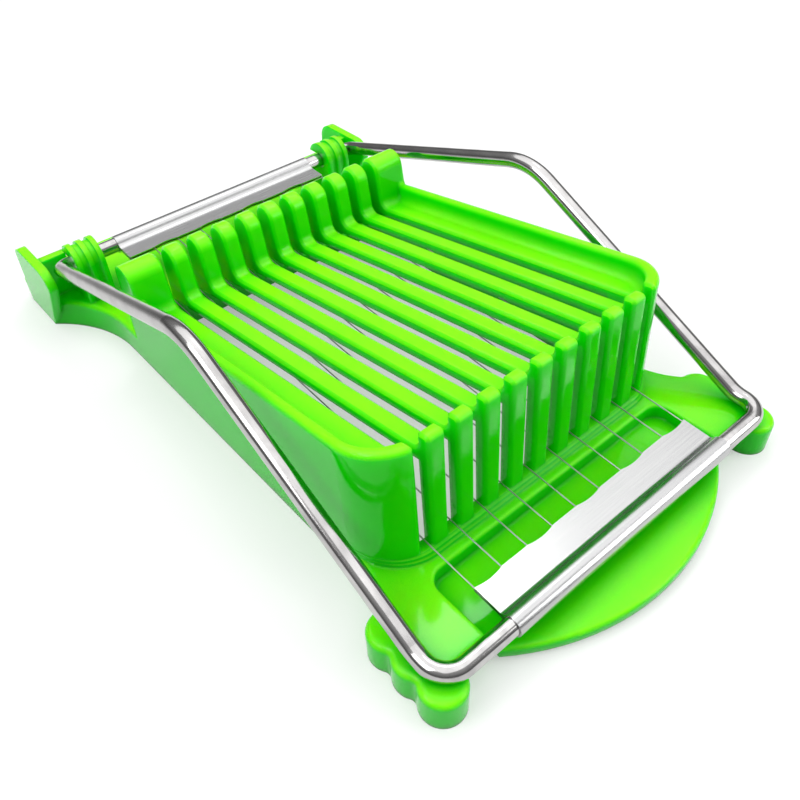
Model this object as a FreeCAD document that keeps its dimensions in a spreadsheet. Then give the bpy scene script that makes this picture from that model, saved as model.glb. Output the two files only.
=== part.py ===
import FreeCAD, Part
import math
import os
import Sketcher
from FreeCAD import Placement, Rotation, Vector

# Wire slicer for luncheon meat and eggs: a slotted cradle with a hinged frame of ten wires.
# Millimetres, +Z up, handle towards -Y, hinge towards +Y. Runs along Y count from the foot of the front wall.

doc = FreeCAD.newDocument("wire_slicer")
sheet = doc.addObject("Spreadsheet::Sheet", "Sizes")


class Size:
    # A number together with the sheet expression that it comes from.
    def __init__(self, value, text):
        self.value = value
        self.text = text

    def joined(self, other, sign, value):
        return Size(value, f"({self.text} {sign} {other.text})")

    def __add__(self, other):
        other = as_size(other)
        return self.joined(other, "+", self.value + other.value)

    def __sub__(self, other):
        other = as_size(other)
        return self.joined(other, "-", self.value - other.value)

    def __mul__(self, other):
        other = as_size(other)
        return self.joined(other, "*", self.value * other.value)

    def __truediv__(self, other):
        other = as_size(other)
        return self.joined(other, "/", self.value / other.value)

    def __neg__(self):
        return Size(-self.value, f"(0 - {self.text})")

    def __rsub__(self, other):
        return as_size(other) - self

    __radd__ = __add__
    __rmul__ = __mul__


def as_size(number):
    if isinstance(number, Size):
        return number
    return Size(float(number), repr(float(number)))


def sine(angle):
    return Size(math.sin(math.radians(angle.value)), f"sin({angle.text})")


def cosine(angle):
    return Size(math.cos(math.radians(angle.value)), f"cos({angle.text})")


def slope(angle):
    return Size(math.tan(math.radians(angle.value)), f"tan({angle.text})")


def steepness(rise, run):
    angle = math.degrees(math.atan2(rise.value, run.value))
    return Size(angle, f"(atan2({rise.text}; {run.text}) / 1 deg)")


def root(square):
    return Size(math.sqrt(square.value), f"sqrt({square.text})")


row = 0


def size(name, value):
    global row
    row += 1
    sheet.set(f"A{row}", name)
    sheet.set(f"B{row}", str(value))
    sheet.setAlias(f"B{row}", name)
    return Size(float(value), f"Sizes.{name}")


# Wires and the two bars that carry them
wire_pitch = size("wire_pitch", 9)
wire_dia = size("wire_dia", 0.4)
bar_span = size("bar_span", 190.35)
wire_tilt = size("wire_tilt", 3.23)
hinge_run = size("hinge_run", 161.8)
hinge_height = size("hinge_height", 23.6)
open_angle = size("open_angle", 130)

# Bent rod of the frame
rod_dia = size("rod_dia", 5)
arm_half = size("arm_half", 61.7)
arch_run = size("arch_run", 96.4)
arch_height = size("arch_height", 54)
arch_bend = size("arch_bend", 22)
dip_run = size("dip_run", 8.9)
dip_bend = size("dip_bend", 10)
front_bend = size("front_bend", 6.5)
rear_bend = size("rear_bend", 4.2)
butt_gap = size("butt_gap", 0.4)

# Folded sheet plates
sheet_wall = size("sheet_wall", 0.5)
sleeve_play = size("sleeve_play", 0.05)
leaf_play = size("leaf_play", 0.02)
front_flange = size("front_flange", 12.2)
rear_flange = size("rear_flange", 10.7)
plate_overhang = size("plate_overhang", 0.3)
front_neck = size("front_neck", 1.6)
rear_neck = size("rear_neck", 3)
turn_inset = size("turn_inset", 4.2)
setback_depth = size("setback_depth", 0.6)

# Cradle
body_half = size("body_half", 54)
corner_radius = size("corner_radius", 14.8)
front_lean = size("front_lean", 3)
front_wall = size("front_wall", 3.5)
floor_height = size("floor_height", 43.9)
floor_tilt = size("floor_tilt", 9.95)
rim_height = size("rim_height", 5.5)
rim_wall = size("rim_wall", 3.2)
basin_fillet = size("basin_fillet", 3)
rim_fillet = size("rim_fillet", 1.4)
comb_run = size("comb_run", 116.5)
comb_depth = size("comb_depth", 11.6)
comb_height = size("comb_height", 39.5)
comb_round = size("comb_round", 4.6)
slot_width = size("slot_width", 3.5)
slot_drop = size("slot_drop", 2.4)
slot_bevel = size("slot_bevel", 0.8)
plinth_step = size("plinth_step", 0.75)
plinth_rise = size("plinth_rise", 0.9)
plinth_run = size("plinth_run", 11.8)

# Walls of the moulding
shell_wall = size("shell_wall", 3)
floor_skin = size("floor_skin", 3)
deck_skin = size("deck_skin", 2.6)

# Tray, feet and tongue
rest_gap = size("rest_gap", 0.35)
nose_reach = size("nose_reach", 42.7)
tray_run = size("tray_run", 25.8)
flare_run = size("flare_run", 14.2)
lobe_half = size("lobe_half", 60.6)
lobe_radius = size("lobe_radius", 6)
lobe_pitch = size("lobe_pitch", 8.9)
valley_fillet = size("valley_fillet", 2)
edge_fillet = size("edge_fillet", 1.6)
recess_half = size("recess_half", 45.3)
recess_run = size("recess_run", 4.5)
recess_corner = size("recess_corner", 4.5)
recess_fillet = size("recess_fillet", 1)
tongue_half = size("tongue_half", 43.8)
tongue_lift = size("tongue_lift", 2)
tongue_skin = size("tongue_skin", 3.3)
tongue_shoulder = size("tongue_shoulder", 28)
tongue_fillet = size("tongue_fillet", 1.2)

# Hinge end
tail_reach = size("tail_reach", 191.3)
tail_flare = size("tail_flare", 25)
tail_corner = size("tail_corner", 4)
ear_half = size("ear_half", 68.4)
ear_wall = size("ear_wall", 3)
ear_height = size("ear_height", 25.5)
ear_front = size("ear_front", 1)
ear_back = size("ear_back", 17)
ear_round = size("ear_round", 6)
clip_inner = size("clip_inner", 47.6)
clip_width = size("clip_width", 9.6)
clip_wall = size("clip_wall", 3)
clip_play = size("clip_play", 0.1)
clip_mouth = size("clip_mouth", 4.2)
rib_width = size("rib_width", 1.8)
rib_rise = size("rib_rise", 0.8)
stop_setback = size("stop_setback", 6.5)
stop_wall = size("stop_wall", 3)
stop_play = size("stop_play", 0.3)

wire_count = 10
rib_count = 3
plinth_steps = 2
doc.recompute()

rod_radius = rod_dia / 2
wire_radius = wire_dia / 2
middle = (nose_reach - tail_reach) / 2
bar_run = hinge_run - bar_span * cosine(wire_tilt)
bar_height = hinge_height - bar_span * sine(wire_tilt)
tray_level = bar_height - rod_radius - rest_gap
wire_at_wall = hinge_height - hinge_run * slope(wire_tilt)
slot_bottom = wire_at_wall - slot_drop
rim_top = floor_height + rim_height
basin_half = body_half - rim_wall
comb_back = comb_run + comb_depth


def wire_x(index):
    return wire_pitch * (index - (wire_count - 1) / 2)


def bind(item, name, value):
    item.setExpression(name, as_size(value).text)


def new_body(label, run=middle, height=0, tilt=None):
    body = doc.addObject("PartDesign::Body", label)
    body.Label = label
    turn = tilt.value if tilt else 0
    body.Placement = Placement(Vector(0, run.value, as_size(height).value), Rotation(Vector(1, 0, 0), turn))
    bind(body, "Placement.Base.y", run)
    bind(body, "Placement.Base.z", height)
    if tilt:
        bind(body, "Placement.Rotation.Angle", tilt)
    return body


def new_sketch(body, name, role, offset=0, tilt=None):
    item = body.newObject("Sketcher::SketchObject", name)
    plane = [feature for feature in body.Origin.OriginFeatures if feature.Role == role][0]
    item.AttachmentSupport = [(plane, "")]
    item.MapMode = "FlatFace"
    offset = as_size(offset)
    turn = tilt.value if tilt else 0
    item.AttachmentOffset = Placement(Vector(0, 0, offset.value), Rotation(Vector(1, 0, 0), turn))
    bind(item, "AttachmentOffset.Base.z", offset)
    if tilt:
        bind(item, "AttachmentOffset.Rotation.Angle", tilt)
    return item


def hold(item, kind, geometry, point, value):
    axis = -2 if kind == "DistanceX" else -1
    if value.value == 0:
        item.addConstraint(Sketcher.Constraint("PointOnObject", geometry, point, axis))
        return
    index = item.addConstraint(Sketcher.Constraint(kind, -1, 1, geometry, point, value.value))
    bind(item, f"Constraints[{index}]", value)


def draw_path(item, corners, closed=False):
    # A corner is x, y and, where an arc leaves it, the arc's radius and turn: 1 to the left, -1 to the right.
    corners = [[as_size(number) for number in corner] for corner in corners]
    stretches = len(corners) if closed else len(corners) - 1
    starts, ends = [], []
    for index in range(stretches):
        corner = corners[index]
        following = corners[(index + 1) % len(corners)]
        here = Vector(corner[0].value, corner[1].value, 0)
        there = Vector(following[0].value, following[1].value, 0)
        if len(corner) == 2:
            line = item.addGeometry(Part.LineSegment(here, there))
            starts.append((line, 1))
            ends.append((line, 2))
            continue
        turn = corner[3].value
        chord = there - here
        rise = math.sqrt(max(corner[2].value ** 2 - (chord.Length / 2) ** 2, 0))
        across = Vector(-chord.y, chord.x, 0).normalize()
        centre = (here + there) / 2 + across * rise * turn
        first, last = (here, there) if turn > 0 else (there, here)
        angles = [math.atan2(point.y - centre.y, point.x - centre.x) for point in (first, last)]
        circle = Part.Circle(centre, Vector(0, 0, 1), corner[2].value)
        arc = item.addGeometry(Part.ArcOfCircle(circle, angles[0], angles[1]))
        starts.append((arc, 1 if turn > 0 else 2))
        ends.append((arc, 2 if turn > 0 else 1))
        radius = item.addConstraint(Sketcher.Constraint("Radius", arc, corner[2].value))
        bind(item, f"Constraints[{radius}]", corner[2])
    for index, corner in enumerate(corners):
        if closed or 0 < index < stretches:
            item.addConstraint(Sketcher.Constraint("Coincident", *ends[index - 1], *starts[index]))
        end = starts[index] if index < stretches else ends[-1]
        hold(item, "DistanceX", *end, corner[0])
        hold(item, "DistanceY", *end, corner[1])


def draw_loop(item, corners):
    draw_path(item, corners, closed=True)


def draw_circle(item, across, up, radius):
    across, up, radius = as_size(across), as_size(up), as_size(radius)
    centre = Vector(across.value, up.value, 0)
    circle = item.addGeometry(Part.Circle(centre, Vector(0, 0, 1), radius.value))
    hold(item, "DistanceX", circle, 3, across)
    hold(item, "DistanceY", circle, 3, up)
    index = item.addConstraint(Sketcher.Constraint("Radius", circle, radius.value))
    bind(item, f"Constraints[{index}]", radius)


def draw_box(item, left, right, low, high):
    draw_loop(item, [(left, low), (right, low), (right, high), (left, high)])


def extrude(body, item, kind, name, length, both=False, back=False):
    feature = body.newObject(f"PartDesign::{kind}", name)
    feature.Profile = item
    feature.Length = as_size(length).value
    bind(feature, "Length", length)
    feature.SideType = "Symmetric" if both else "One side"
    feature.Reversed = back
    doc.recompute()
    return feature


def pad(body, item, name, length, both=False, back=False):
    return extrude(body, item, "Pad", name, length, both, back)


def pocket(body, item, name, length, both=False, back=False):
    before = body.Shape.Volume
    feature = extrude(body, item, "Pocket", name, length, both, back)
    if body.Shape.Volume > before - 1e-6:
        raise RuntimeError(f"{name} cuts nothing")
    return feature


def repeat(body, feature, name, count, step):
    pattern = body.newObject("PartDesign::LinearPattern", name)
    pattern.Originals = [feature]
    axis = [item for item in body.Origin.OriginFeatures if item.Role == "X_Axis"][0]
    pattern.Direction = (axis, [""])
    pattern.Occurrences = count
    pattern.Length = step.value * (count - 1)
    bind(pattern, "Length", step * (count - 1))
    body.Tip = pattern
    doc.recompute()
    return pattern


def dress_edges(body, kind, name, measure, amount, wanted):
    base = body.Tip
    names = [f"Edge{index + 1}" for index, edge in enumerate(base.Shape.Edges) if wanted(edge)]
    if not names:
        raise RuntimeError(f"{name} finds no edge")
    feature = body.newObject(kind, name)
    feature.Base = (base, names)
    setattr(feature, measure, amount.value)
    bind(feature, measure, amount)
    doc.recompute()
    return feature


def round_edges(body, name, radius, wanted):
    return dress_edges(body, "PartDesign::Fillet", name, "Radius", radius, wanted)


def bevel_edges(body, name, width, wanted):
    return dress_edges(body, "PartDesign::Chamfer", name, "Size", width, wanted)


def both_sides(right):
    # The right half of an outline, front to rear, followed by its mirror image back to the front.
    left = []
    for index in reversed(range(len(right))):
        across, along = right[index][:2]
        bend = right[index - 1][2:] if index > 0 else ()
        left.append((-as_size(across), along, *bend))
    return right + left


def tangent_radius(across, along):
    # Radius of an arc that leaves a straight wall and drifts off by across over a run of along.
    return (across * across + along * along) / (across * 2)


def sides(inner, width):
    # Offsets of a right and a left piece that each pad towards +X.
    return (inner, -(inner + width))


def floor_at(along, drop=0):
    return floor_height - drop - slope(floor_tilt) * along


def rim_at(along):
    return rim_top - slope(floor_tilt) * along


def comb_at(height):
    return comb_run + (height - floor_at(comb_run)) * slope(floor_tilt)


def front_at(height, inset=0):
    return (height - tray_level) * slope(front_lean) + inset


def near(one, other):
    return abs(one - other) < 1e-3


def points_of(edge):
    return [edge.valueAt(edge.FirstParameter + part * (edge.LastParameter - edge.FirstParameter))
            for part in (0, 0.5, 1)]


spare = 5

# Base moulding: the outline of tray, feet, cradle sides and hinge end
base = new_body("base")
lobe_reach = root(lobe_radius * lobe_radius - lobe_pitch * lobe_pitch / 4)
last_lobe = -(lobe_pitch * 3)
front_inset = root(lobe_radius * lobe_radius - (tray_run + last_lobe) * (tray_run + last_lobe))
flare_across = lobe_half - body_half
flare_along = flare_run + lobe_pitch - lobe_radius
flare_radius = tangent_radius(flare_across, flare_along)
tail_across = ear_half - body_half
tail_along = tail_flare + ear_round
tail_radius = tangent_radius(tail_across, tail_along)
tail_start = hinge_run - tail_flare
ear_start = hinge_run + ear_round

outline = new_sketch(base, "outline", "XY_Plane")
draw_loop(outline, both_sides([
    (lobe_half - front_inset, -tray_run, lobe_radius, 1),
    (lobe_half, last_lobe - lobe_radius, lobe_radius, 1),
    (lobe_half + lobe_reach, -(lobe_pitch * 2.5), lobe_radius, 1),
    (lobe_half + lobe_reach, -(lobe_pitch * 1.5), lobe_radius, 1),
    (lobe_half, lobe_radius - lobe_pitch, flare_radius, -1),
    (body_half, flare_run),
    (body_half, tail_start, tail_radius, -1),
    (ear_half, ear_start),
    (ear_half, tail_reach - tail_corner, tail_corner, 1),
    (ear_half - tail_corner, tail_reach),
]))
pad(base, outline, "deck", tray_level)


def is_valley(edge):
    start, end = edge.Vertexes[0].Point, edge.Vertexes[-1].Point
    upright = near(start.x, end.x) and near(start.y, end.y)
    places = [-lobe_pitch.value * 2.5, -lobe_pitch.value * 1.5, (lobe_radius - lobe_pitch).value]
    return upright and any(near(start.y, place) for place in places)


def at_level(edge, height):
    return all(near(point.z, height.value) for point in points_of(edge))


round_edges(base, "valleys", valley_fillet, is_valley)
round_edges(base, "deck_round", edge_fillet, lambda edge: at_level(edge, tray_level))

# Plinth round the foot of the cradle
for step in range(plinth_steps):
    reach = plinth_step * (plinth_steps - step)
    plinth_corner = corner_radius + reach / 2
    plinth = new_sketch(base, f"plinth_outline_{step}", "XY_Plane")
    draw_loop(plinth, both_sides([
        (body_half - plinth_corner, -reach, plinth_corner, 1),
        (body_half, plinth_corner - reach),
        (body_half, plinth_run + corner_radius),
    ]))
    pad(base, plinth, f"plinth_{step}", tray_level + plinth_rise * (step + 1))

# Cradle block, whose front wall leans back
crown = rim_top + spare
sections = []
for name, height in (("foot_section", as_size(0)), ("crown_section", crown)):
    section = new_sketch(base, name, "XY_Plane", height)
    draw_loop(section, both_sides([
        (body_half - corner_radius, front_at(height), corner_radius, 1),
        (body_half, front_at(height) + corner_radius),
        (body_half, comb_back),
    ]))
    sections.append(section)
block = base.newObject("PartDesign::AdditiveLoft", "cradle_block")
block.Profile = sections[0]
block.Sections = [sections[1]]
block.Ruled = True
doc.recompute()

# Sloping rim and rounded comb, seen from the side
comb_shoulder = comb_height - comb_round
comb_bend = comb_shoulder + comb_round * sine(floor_tilt)
comb_crest = comb_at(comb_bend) + comb_round * cosine(floor_tilt)
rim_rise = rim_height * cosine(floor_tilt)
comb_start = floor_at(comb_run) + rim_rise * cosine(floor_tilt)
silhouette = new_sketch(base, "silhouette", "YZ_Plane")
draw_loop(silhouette, [
    (as_size(-spare), rim_at(as_size(-spare))),
    (comb_at(comb_start), comb_start),
    (comb_at(comb_bend), comb_bend, comb_round, -1),
    (comb_crest, comb_height),
    (comb_back - comb_round, comb_height, comb_round, -1),
    (comb_back, comb_shoulder),
    (comb_back + spare, comb_shoulder),
    (comb_back + spare, crown + spare),
    (as_size(-spare), crown + spare),
])
pocket(base, silhouette, "rim_and_comb", body_half * 2 + spare, both=True)

# Basin for the food, over a sloping floor
basin_front = front_at(floor_height, front_wall)
basin_corner = corner_radius - rim_wall
basin = new_sketch(base, "basin_outline", "XY_Plane", floor_height, -floor_tilt)
basin_start = basin_front / cosine(floor_tilt)
draw_loop(basin, both_sides([
    (basin_half - basin_corner, basin_start, basin_corner, 1),
    (basin_half, basin_start + basin_corner),
    (basin_half, comb_run / cosine(floor_tilt)),
]))
pocket(base, basin, "basin", crown, back=True)


def on_slope(edge, top):
    fall = math.tan(math.radians(floor_tilt.value))
    points = points_of(edge)
    return all(near(point.z, top.value - fall * point.y) for point in points)


round_edges(base, "basin_foot", basin_fillet, lambda edge: on_slope(edge, floor_height))
round_edges(base, "rim_round", rim_fillet, lambda edge: on_slope(edge, rim_top))

# Hollow underside
hollow_half = body_half - shell_wall
under_front = front_at(floor_height - floor_skin, front_wall)
under_back = comb_back - shell_wall
deck_under = tray_level - deck_skin
nose_hollow = body_half - corner_radius + shell_wall
for name, start, half in (("hollow", front_at(floor_height, corner_radius), hollow_half),
                          ("nose_hollow", under_front, nose_hollow)):
    section = new_sketch(base, name + "_section", "YZ_Plane")
    draw_loop(section, [
        (start - (floor_height + spare) * slope(front_lean), as_size(-spare)),
        (under_back, as_size(-spare)),
        (under_back, floor_at(under_back, floor_skin)),
        (start, floor_at(start, floor_skin)),
    ])
    pocket(base, section, name, half * 2, both=True)

wall_back = new_sketch(base, "front_hollow_outline", "XY_Plane")
draw_box(wall_back, -hollow_half, hollow_half, shell_wall - recess_run, corner_radius)
pocket(base, wall_back, "front_hollow", deck_under, back=True)

flare_centre = body_half + flare_radius
foot_hollow_end = flare_run - root((flare_radius + shell_wall) * (flare_radius + shell_wall)
                                   - (flare_centre - lobe_half) * (flare_centre - lobe_half))
feet = new_sketch(base, "foot_hollow_outline", "XY_Plane")
foot_hollow = [
    (recess_half + shell_wall, shell_wall - tray_run),
    (lobe_half, shell_wall - tray_run),
    (lobe_half, foot_hollow_end, flare_radius + shell_wall, -1),
    (hollow_half, flare_run),
    (recess_half + shell_wall, flare_run),
]
draw_loop(feet, foot_hollow)
mirrored_foot = both_sides(foot_hollow)[len(foot_hollow):]
draw_loop(feet, mirrored_foot)
pocket(base, feet, "foot_hollows", deck_under, back=True)

tail_centre = body_half + tail_radius
tail_hollow_end = tail_start + root((tail_radius + shell_wall) * (tail_radius + shell_wall)
                                    - (tail_centre - ear_half + ear_wall) * (tail_centre - ear_half + ear_wall))
tail = new_sketch(base, "tail_hollow_outline", "XY_Plane")
draw_loop(tail, both_sides([
    (hollow_half, under_back - spare),
    (hollow_half, tail_start, tail_radius + shell_wall, -1),
    (ear_half - ear_wall, tail_hollow_end),
    (ear_half - ear_wall, tail_reach - shell_wall),
]))
pocket(base, tail, "tail_hollow", deck_under, back=True)

# Recess in the tray and the round tongue in front of it
tongue_top = tongue_lift + tongue_skin
recess = new_sketch(base, "recess_outline", "XY_Plane", crown)
draw_loop(recess, both_sides([
    (recess_half, -nose_reach),
    (recess_half, -(recess_run + recess_corner), recess_corner, 1),
    (recess_half - recess_corner, -recess_run),
]))
pocket(base, recess, "recess", crown - tongue_top)
round_edges(base, "recess_round", recess_fillet, lambda edge: at_level(edge, tray_level)
            and near(points_of(edge)[1].y, -recess_run.value))
lift = new_sketch(base, "recess_underside", "XY_Plane")
draw_box(lift, -recess_half, recess_half, -nose_reach, -(recess_run + shell_wall))
pocket(base, lift, "recess_lift", tongue_lift, back=True)
tongue = new_sketch(base, "tongue_outline", "XY_Plane", tongue_lift)
tongue_sag = nose_reach - tongue_shoulder
tongue_radius = (tongue_half * tongue_half + tongue_sag * tongue_sag) / (tongue_sag * 2)
draw_loop(tongue, [
    (-tongue_half, -tongue_shoulder, tongue_radius, 1),
    (0, -nose_reach, tongue_radius, 1),
    (tongue_half, -tongue_shoulder),
    (tongue_half, -(recess_run + recess_corner)),
    (-tongue_half, -(recess_run + recess_corner)),
])
pad(base, tongue, "tongue", tongue_skin)
round_edges(base, "tongue_round", tongue_fillet, lambda edge: at_level(edge, tongue_top)
            and points_of(edge)[1].y < -tongue_shoulder.value)

# Ten slots, from the front wall through the floor and the comb
first_x = wire_x(0)
slot = new_sketch(base, "slot_outline", "XY_Plane", crown)
draw_box(slot, first_x - slot_width / 2, first_x + slot_width / 2, as_size(-spare), comb_back + spare)
slot_cut = pocket(base, slot, "slot", crown - slot_bottom)
repeat(base, slot_cut, "slots", wire_count, wire_pitch)

# Ears, snap clips with their ribs and back stops
ear_top = ear_height - ear_round
for number, offset in enumerate(sides(ear_half - ear_wall, ear_wall)):
    ear = new_sketch(base, f"ear_outline_{number}", "YZ_Plane", offset)
    draw_loop(ear, [
        (ear_start, 0),
        (tail_reach - tail_corner, 0),
        (hinge_run + ear_back + ear_round, ear_top, ear_round, 1),
        (hinge_run + ear_back, ear_height),
        (hinge_run + ear_front, ear_height, ear_round, 1),
        (hinge_run + ear_front - ear_round, ear_top),
    ])
    pad(base, ear, f"ear_{number}", ear_wall)

bore_radius = rod_radius + clip_play
clip_radius = bore_radius + clip_wall
clip_outer = clip_inner + clip_width
root_level = tray_level - deck_skin / 2


def clip_pad(name, offset, radius, width):
    clip = new_sketch(base, name + "_outline", "YZ_Plane", offset)
    draw_loop(clip, [
        (hinge_run - radius, root_level),
        (hinge_run + radius, root_level),
        (hinge_run + radius, hinge_height, radius, 1),
        (hinge_run, hinge_height + radius, radius, 1),
        (hinge_run - radius, hinge_height),
    ])
    return pad(base, clip, name, width)


rib_step = (clip_width - rib_width) / (rib_count - 1)
for number, offset in enumerate(sides(clip_inner, clip_width)):
    clip_pad(f"clip_{number}", offset, clip_radius, clip_width)
    rib = clip_pad(f"rib_{number}", offset, clip_radius + rib_rise, rib_width)
    repeat(base, rib, f"ribs_{number}", rib_count, rib_step)

bore = new_sketch(base, "clip_bore", "YZ_Plane")
draw_circle(bore, hinge_run, hinge_height, bore_radius)
pocket(base, bore, "bore", clip_outer * 2, both=True)
mouth = new_sketch(base, "clip_mouth", "YZ_Plane")
draw_box(mouth, hinge_run, hinge_run + clip_radius + rib_rise + spare, hinge_height - clip_mouth / 2,
         hinge_height + clip_mouth / 2)
pocket(base, mouth, "mouth", clip_outer * 2, both=True)

swing = open_angle + steepness(arch_height - hinge_height, arch_run)
stop_top = hinge_height - (stop_setback * sine(swing) - rod_radius - stop_play) / cosine(swing)
stops = new_sketch(base, "stop_outlines", "XY_Plane", root_level)
for side in (-1, 1):
    ends = [(clip_outer - rib_rise) * side, (ear_half - ear_wall / 2) * side]
    ends.sort(key=lambda end: end.value)
    draw_box(stops, *ends, hinge_run + stop_setback, hinge_run + stop_setback + stop_wall)
pad(base, stops, "stops", stop_top - root_level)

# Every slot edge is eased, from the teeth over the floor and the comb
outermost = wire_x(wire_count - 1) + slot_width


def slot_edge(edge):
    return on_slope(edge, floor_height) and edge.BoundBox.YLength > comb_run.value / 2 \
        and abs(points_of(edge)[1].x) < outermost.value


bevel_edges(base, "slot_bevels", slot_bevel, slot_edge)

# Bent rod: one length whose ends butt inside the rear plate
bar_y = bar_run + middle
hinge_y = hinge_run + middle


def bent_wire(corners, bends):
    edges = []
    start = corners[0]
    for index, bend in enumerate(bends, start=1):
        before = (corners[index - 1] - corners[index]).normalize()
        after = (corners[index + 1] - corners[index]).normalize()
        half = before.getAngle(after) / 2
        reach = bend / math.tan(half)
        inward = (before + after).normalize()
        top = corners[index] + inward * (bend / math.sin(half) - bend)
        first = corners[index] + before * reach
        last = corners[index] + after * reach
        edges.append(Part.LineSegment(start, first).toShape())
        edges.append(Part.Arc(first, top, last).toShape())
        start = last
    edges.append(Part.LineSegment(start, corners[-1]).toShape())
    return Part.Wire(edges)


arm = [
    Vector(arm_half.value, hinge_y.value, hinge_height.value),
    Vector(arm_half.value, hinge_y.value - arch_run.value, arch_height.value),
    Vector(arm_half.value, bar_y.value + dip_run.value, bar_height.value),
    Vector(arm_half.value, bar_y.value, bar_height.value),
]
butt = Vector(butt_gap.value / 2, hinge_y.value, hinge_height.value)
half_path = [butt] + arm
other_half = [Vector(-point.x, point.y, point.z) for point in reversed(half_path)]
arm_bends = [size_of.value for size_of in (rear_bend, arch_bend, dip_bend, front_bend)]
path = bent_wire(half_path + other_half, arm_bends + arm_bends[::-1])
rod_end = Part.Wire(Part.Circle(butt, Vector(1, 0, 0), rod_radius.value).toShape())
rod = doc.addObject("Part::Feature", "frame_rod")
rod.Label = "frame_rod"
rod.Shape = path.makePipeShell([rod_end], True, False)

# Folded plates, drawn from the axis of their bar with the wires in the XY plane
sleeve_bore = rod_radius + sleeve_play
sleeve_radius = sleeve_bore + sheet_wall
leaf_gap = wire_dia + leaf_play * 2
flange_half = leaf_gap / 2 + sheet_wall
plate_half = wire_pitch * ((wire_count - 1) / 2) + plate_overhang


def wire_plate(label, run, height, toward, setbacks, depth, neck):
    body = new_body(label, run + middle, height, wire_tilt)
    flange_edge = depth * toward
    length = plate_half * 2
    sleeve = new_sketch(body, label + "_sleeve", "YZ_Plane")
    draw_circle(sleeve, 0, 0, sleeve_radius)
    pad(body, sleeve, label + "_tube", length, both=True)
    flange = new_sketch(body, label + "_flange", "YZ_Plane")
    spans = [as_size(0), flange_edge]
    spans.sort(key=lambda end: end.value)
    draw_box(flange, *spans, -flange_half, flange_half)
    pad(body, flange, label + "_leaves", length, both=True)
    meeting = math.sqrt(sleeve_radius.value ** 2 - flange_half.value ** 2)
    round_edges(body, label + "_neck", neck, lambda edge: all(
        near(point.y * toward, meeting) and near(abs(point.z), flange_half.value) for point in points_of(edge)))
    bore_hole = new_sketch(body, label + "_bore", "YZ_Plane")
    draw_circle(bore_hole, 0, 0, sleeve_bore)
    pocket(body, bore_hole, label + "_hole", length, both=True)
    slit = new_sketch(body, label + "_slit", "YZ_Plane")
    draw_box(slit, *spans, -(leaf_gap / 2), leaf_gap / 2)
    pocket(body, slit, label + "_fold", length, both=True)
    first = wire_x(setbacks[0])
    last = wire_x(setbacks[0] + 1)
    setback_radius = tangent_radius(setback_depth, wire_pitch / 2)
    notch = new_sketch(body, label + "_notch", "XY_Plane", flange_half)
    draw_loop(notch, [
        (first, flange_edge + setback_depth * toward),
        (last, flange_edge + setback_depth * toward),
        (last, flange_edge, setback_radius, -toward),
        (first, flange_edge),
    ])
    cut = pocket(body, notch, label + "_setback", flange_half * 2)
    repeat(body, cut, label + "_setbacks", len(setbacks), wire_pitch * 2)
    return body


front_pairs = list(range(0, wire_count - 1, 2))
rear_pairs = list(range(1, wire_count - 2, 2))
wire_plate("front_wire_plate", bar_run, bar_height, 1, front_pairs, front_flange, front_neck)
wire_plate("rear_wire_plate", hinge_run, hinge_height, -1, rear_pairs, rear_flange, rear_neck)

# Ten runs of one strand, each with its share of the half turns hidden between the leaves
turn_radius = wire_pitch / 2
front_turn = turn_inset - bar_span
rear_turn = -turn_inset


def wire_run(index):
    label = f"cutting_wire_{index + 1:02d}"
    body = new_body(label, hinge_run + middle, hinge_height, wire_tilt)
    along = wire_x(index)
    away = 1 if index in front_pairs else -1
    front_x = along + turn_radius * away
    route = new_sketch(body, label + "_route", "XY_Plane")
    corners = [(front_x, front_turn, turn_radius, -away), (along, front_turn + turn_radius)]
    if 0 < index < wire_count - 1:
        corners.append((along, rear_turn - turn_radius, turn_radius, away))
        corners.append((along - turn_radius * away, rear_turn))
    else:
        corners.append((along, rear_turn))
    draw_path(route, corners)
    section = new_sketch(body, label + "_section", "YZ_Plane", front_x)
    draw_circle(section, front_turn, 0, wire_radius)
    pipe = body.newObject("PartDesign::AdditivePipe", label + "_pipe")
    pipe.Profile = section
    pipe.Spine = (route, [f"Edge{number + 1}" for number in range(len(corners) - 1)])
    doc.recompute()
    return body


for index in range(wire_count):
    wire_run(index)

doc.recompute()
pieces = [item for item in doc.Objects if item.TypeId == "PartDesign::Body"] + [rod]
for item in doc.Objects:
    if "Invalid" in item.State or "Error" in item.State:
        raise RuntimeError(f"{item.Label} did not build")
os.makedirs("parts", exist_ok=True)
for piece in pieces:
    if piece.Shape.isNull() or not piece.Shape.isValid():
        raise RuntimeError(f"{piece.Label} is not a valid solid")
    piece.Shape.exportStep(f"parts/{piece.Label}.step")
    box = piece.Shape.BoundBox
    print(piece.Label, len(piece.Shape.Solids), round(piece.Shape.Volume), [round(number, 2) for number in (
        box.XMin, box.XMax, box.YMin, box.YMax, box.ZMin, box.ZMax)])
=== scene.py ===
import math

import bpy
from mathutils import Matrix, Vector

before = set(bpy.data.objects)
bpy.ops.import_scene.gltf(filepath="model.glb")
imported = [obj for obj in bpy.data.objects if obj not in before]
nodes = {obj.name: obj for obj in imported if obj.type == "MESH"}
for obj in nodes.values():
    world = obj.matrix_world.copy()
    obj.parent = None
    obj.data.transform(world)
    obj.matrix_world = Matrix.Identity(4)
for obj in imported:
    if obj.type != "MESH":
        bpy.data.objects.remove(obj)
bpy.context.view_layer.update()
scene = bpy.context.scene
print("frame loaded:", len(nodes), "nodes")


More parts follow.
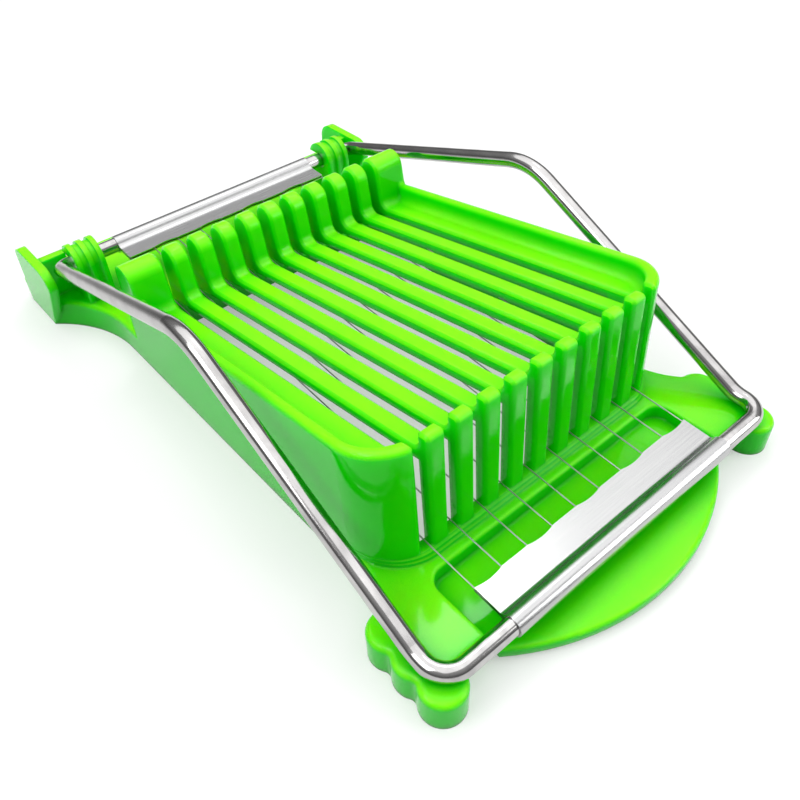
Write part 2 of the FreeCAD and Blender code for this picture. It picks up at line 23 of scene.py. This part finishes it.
class Socket:
    # wraps one output, so that maths on it reads as a formula
    def __init__(self, tree, output=None):
        self.tree = tree
        self.output = output

    def feed(self, target, value):
        if isinstance(value, Socket):
            self.tree.links.new(value.output, target)
        else:
            target.default_value = value

    def node(self, kind, settings=None, inputs=None, out=0):
        item = self.tree.nodes.new(kind)
        for name, value in (settings or {}).items():
            if name == "stops":
                self.setStops(item.color_ramp, value)
            else:
                setattr(item, name, value)
        for name, value in (inputs or {}).items():
            self.feed(item.inputs[name], value)
        return Socket(self.tree, item.outputs[out])

    def setStops(self, ramp, stops):
        while len(ramp.elements) < len(stops):
            ramp.elements.new(1.0)
        for element, (place, colour) in zip(ramp.elements, stops):
            element.position = place
            element.color = colour

    def maths(self, operation, first, second):
        return self.node("ShaderNodeMath", {"operation": operation}, {0: first, 1: second})

    def __add__(self, other):
        return self.maths("ADD", self, other)

    def __sub__(self, other):
        return self.maths("SUBTRACT", self, other)

    def __rsub__(self, other):
        return self.maths("SUBTRACT", other, self)

    def __mul__(self, other):
        return self.maths("MULTIPLY", self, other)

    __radd__ = __add__
    __rmul__ = __mul__

    def clip(self, low, high):
        # 0 at low and below, 1 at high and above
        limits = {"Value": self, "From Min": low, "From Max": high}
        return self.node("ShaderNodeMapRange", {"clamp": True}, limits)

    def blend(self, first, second):
        # colour mix with this socket as the factor
        return self.node("ShaderNodeMix", {"data_type": "RGBA"}, {0: self, 6: first, 7: second}, out=2)

    def coords(self, kind):
        return self.node("ShaderNodeTexCoord", out=kind)

    def height(self, vector):
        return self.node("ShaderNodeSeparateXYZ", None, {0: vector}, out="Z")

    def noise(self, place, scale, detail):
        return self.node("ShaderNodeTexNoise", None, {"Vector": place, "Scale": scale, "Detail": detail})

    def bump(self, relief, strength, depth, extra=None):
        inputs = {"Height": relief, "Strength": strength, "Distance": depth, **(extra or {})}
        return self.node("ShaderNodeBump", None, inputs)


def newMaterial(name):
    material = bpy.data.materials.new(name)
    material.use_nodes = True
    tree = material.node_tree
    shader = tree.nodes["Principled BSDF"]
    return material, Socket(tree), shader


def dress(names, material):
    for name in names:
        slots = nodes[name].data.materials
        slots.clear()
        slots.append(material)


# Lime plastic of the moulding. A noise is given as its scale per m and its detail
plastic = {
    "paintedLitGreen": (0.24, 0.92, 0.006, 1),       # painted light: colour of open faces that look up
    "paintedShadeGreen": (0.003, 0.60, 0.001, 1),      # painted shade: colour of upright faces and of corners
    "paintedShadeReach": 0.018,                   # reach of the painted shade into corners, m
    "paintedShadeRays": 8,
    "mottleShare": 0.1,                   # share of the painted-shade mask that is random mottle, not occlusion
    "shadeAndMottleRange": (0.45, 1.0),             # mask level at which the colour is full painted shade, and full painted light
    "paintedTopLightRange": (0.0, 0.9),                # the same for how far a face looks up, for the painted top light
    "edge": 0.0016,                       # radius of the moulded edges, m
    "edgeRays": 6,
    "ior": 1.45,
    "gloss": 0.25,
    "glow": 0.90,                         # share of light that wanders inside the wall
    "reach": (0.15, 1.0, 0.06),           # how far red, green and blue wander, times the depth
    "depth": 0.007,                       # m
    "roughness": 0.10,
    "smear": 0.08,                        # extra roughness of handled patches
    "mottle": (34.0, 3.0),
    "mottleRange": (0.5, 0.75),           # noise levels where handling starts, and is full
    "scuffs": (260.0, 4.0),
    "scuffRange": (0.45, 0.7),
    "skin": (900.0, 2.0),                 # fine waviness of the moulded skin
    "skinStrength": 0.12,
    "skinHeight": 0.00002,                # m
}


def limePlastic(look):
    material, mix, shader = newMaterial("limePlastic")
    place = mix.coords("Object")
    mottle = mix.noise(place, *look["mottle"])
    scuffs = mix.noise(place, *look["scuffs"])
    skin = mix.noise(place, *look["skin"])
    # painted shade: deep green in corners and on upright faces; painted light: open green on open faces
    # that look up
    unshaded = mix.node("ShaderNodeAmbientOcclusion", {"samples": look["paintedShadeRays"]},
                        {"Distance": look["paintedShadeReach"]}, out="AO")
    shadeAndMottle = unshaded * (1 - look["mottleShare"]) + mottle * look["mottleShare"]
    paintedTopLight = mix.height(mix.coords("Normal")).clip(*look["paintedTopLightRange"])
    # lit mask: 1 where painted light goes, 0 where painted shade goes
    lit = shadeAndMottle.clip(*look["shadeAndMottleRange"]) * paintedTopLight
    mix.feed(shader.inputs["Base Color"], lit.blend(look["paintedShadeGreen"], look["paintedLitGreen"]))
    handled = mottle.clip(*look["mottleRange"]) * scuffs.clip(*look["scuffRange"])
    mix.feed(shader.inputs["Roughness"], handled * look["smear"] + look["roughness"])
    rounded = mix.node("ShaderNodeBevel", {"samples": look["edgeRays"]}, {"Radius": look["edge"]})
    bump = mix.bump(skin, look["skinStrength"], look["skinHeight"], {"Normal": rounded})
    mix.feed(shader.inputs["Normal"], bump)
    shader.inputs["IOR"].default_value = look["ior"]
    shader.inputs["Specular IOR Level"].default_value = look["gloss"]
    shader.inputs["Subsurface Weight"].default_value = look["glow"]
    shader.inputs["Subsurface Radius"].default_value = look["reach"]
    shader.inputs["Subsurface Scale"].default_value = look["depth"]
    return material


# Stainless steel: "lines" is how fine the brushing is along X, Y and Z, per m
steel = {
    "rod": {"colour": (0.54, 0.53, 0.525, 1), "dull": (0.38, 0.37, 0.37, 1), "roughness": 0.12,
            "lines": (300.0, 60.0, 300.0)},
    "plate": {"colour": (0.485, 0.485, 0.485, 1), "dull": (0.455, 0.455, 0.46, 1), "roughness": 0.22,
              "lines": (60.0, 2400.0, 2400.0)},
    "wire": {"colour": (0.36, 0.36, 0.35, 1), "dull": (0.26, 0.26, 0.26, 1), "roughness": 0.25,
             "lines": (900.0, 40.0, 900.0)},
}

# What all the steel pieces share
brushing = {
    "grain": (1.0, 4.0),                  # noise on the stretched place: scale and detail
    "clouds": (60.0, 3.0),                # broad patches: scale per m and detail
    "cloudShare": 0.3,
    "brightRange": (0.35, 0.65),          # noise levels where the steel is dull, and bright
    "smear": 0.06,                        # extra roughness where it is dull
    "strength": 0.04,
    "height": 0.00002,                    # m
}


def brushedSteel(name, look):
    material, mix, shader = newMaterial(name)
    place = mix.coords("Object")
    stretched = mix.node("ShaderNodeVectorMath", {"operation": "MULTIPLY"}, {0: place, 1: look["lines"]})
    lines = mix.noise(stretched, *brushing["grain"])
    clouds = mix.noise(place, *brushing["clouds"])
    patches = lines * (1 - brushing["cloudShare"]) + clouds * brushing["cloudShare"]
    bright = patches.clip(*brushing["brightRange"])
    mix.feed(shader.inputs["Base Color"], bright.blend(look["dull"], look["colour"]))
    mix.feed(shader.inputs["Roughness"], (1 - bright) * brushing["smear"] + look["roughness"])
    mix.feed(shader.inputs["Normal"], mix.bump(lines, brushing["strength"], brushing["height"]))
    shader.inputs["Metallic"].default_value = 1.0
    return material


wireNames = [name for name in nodes if name.startswith("cutting_wire")]
dress(["base"], limePlastic(plastic))
dress(["frame_rod"], brushedSteel("rodSteel", steel["rod"]))
dress(["front_wire_plate", "rear_wire_plate"], brushedSteel("plateSteel", steel["plate"]))
dress(wireNames, brushedSteel("wireSteel", steel["wire"]))
print("materials on", len(nodes), "nodes")


# Camera at the photograph's angle
view = {
    "place": (-0.11831, -0.16166, 0.17714),   # m
    "turn": (45.895, 1.796, -40.734),         # degrees
    "focus": 806.6,                           # focal length in pixels of the frame
    "frame": 800.0,                           # width of the frame in pixels
    "sensor": 36.0,                           # mm
}


def addCamera(look):
    data = bpy.data.cameras.new("camera")
    data.sensor_width = look["sensor"]
    data.lens = look["sensor"] * look["focus"] / look["frame"]
    camera = bpy.data.objects.new("camera", data)
    camera.location = look["place"]
    camera.rotation_euler = [math.radians(angle) for angle in look["turn"]]
    scene.collection.objects.link(camera)
    scene.camera = camera


addCamera(view)
print("camera placed")


# Pale table
paleTable = {
    "size": 60.0,                         # m, so that its edge stays out of sight
    "colour": (0.50, 0.50, 0.50, 1),
    "white": (0.40, 0.40, 0.40, 1),       # added for the eye, and for what metal and glass show
    "roughness": 0.6,
    "spread": 0.1,                        # extra roughness of the speckle
    "speckle": (40.0, 2.0),               # scale per m and detail
}


def tablePaint(look):
    material, mix, shader = newMaterial("tablePaint")
    speckle = mix.noise(mix.coords("Object"), *look["speckle"])
    mix.feed(shader.inputs["Roughness"], speckle * look["spread"] + look["roughness"])
    shader.inputs["Base Color"].default_value = look["colour"]
    rays = ["Is Camera Ray", "Is Glossy Ray", "Is Transmission Ray"]
    seen, mirrored, through = [mix.node("ShaderNodeLightPath", out=ray) for ray in rays]
    looking = (seen + mirrored + through).clip(0.0, 1.0)
    black = (0, 0, 0, 1)
    mix.feed(shader.inputs["Emission Color"], looking.blend(black, look["white"]))
    shader.inputs["Emission Strength"].default_value = 1.0
    return material


def addTable(look):
    half = look["size"] / 2
    mesh = bpy.data.meshes.new("table")
    corners = [(-half, -half, 0), (half, -half, 0), (half, half, 0), (-half, half, 0)]
    mesh.from_pydata(corners, [], [(0, 1, 2, 3)])
    mesh.materials.append(tablePaint(look))
    table = bpy.data.objects.new("table", mesh)
    scene.collection.objects.link(table)


# Soft lamps, in m and W, and the light of a plain room
studio = {
    "room": [                             # from the horizon, 0, to straight up, 1
        (0.00, (0.58, 0.58, 0.58, 1)),
        (0.15, (0.09, 0.09, 0.09, 1)),
        (0.90, (0.60, 0.60, 0.60, 1)),
    ],
    "lamps": {
        "topLamp": {"place": (0.25, 0.20, 0.9), "aim": (0.25, 0.20, 0), "size": 1.6, "power": 9.8},
        "sideLamp": {"place": (-0.50, 0.05, 0.55), "aim": (0, 0, 0.02), "size": 0.4, "power": 2.3},
        "frontLamp": {"place": (0.60, -0.70, 0.40), "aim": (0, 0, 0.02), "size": 0.5, "power": 3.4},
        "windowLamp": {"place": (0.34, 0.26, 0.89), "aim": (0.34, 0.26, 0), "size": 0.18, "power": 0.7},
    },
}


def addRoom(look):
    world = bpy.data.worlds.new("room")
    scene.world = world
    world.use_nodes = True
    mix = Socket(world.node_tree)
    rise = mix.height(mix.coords("Generated"))
    shade = mix.node("ShaderNodeValToRGB", {"stops": look["room"]}, {"Fac": rise})
    background = world.node_tree.nodes["Background"]
    mix.feed(background.inputs["Color"], shade)
    background.inputs["Strength"].default_value = 1.0


def addLamp(name, look):
    data = bpy.data.lights.new(name, "AREA")
    data.energy = look["power"]
    data.size = look["size"]
    lamp = bpy.data.objects.new(name, data)
    lamp.location = look["place"]
    aim = Vector(look["aim"]) - Vector(look["place"])
    lamp.rotation_euler = aim.to_track_quat("-Z", "Y").to_euler()
    scene.collection.objects.link(lamp)


addTable(paleTable)
addRoom(studio)
for lampName, lampLook in studio["lamps"].items():
    addLamp(lampName, lampLook)
scene.view_settings.view_transform = "Standard"
print("studio lit")
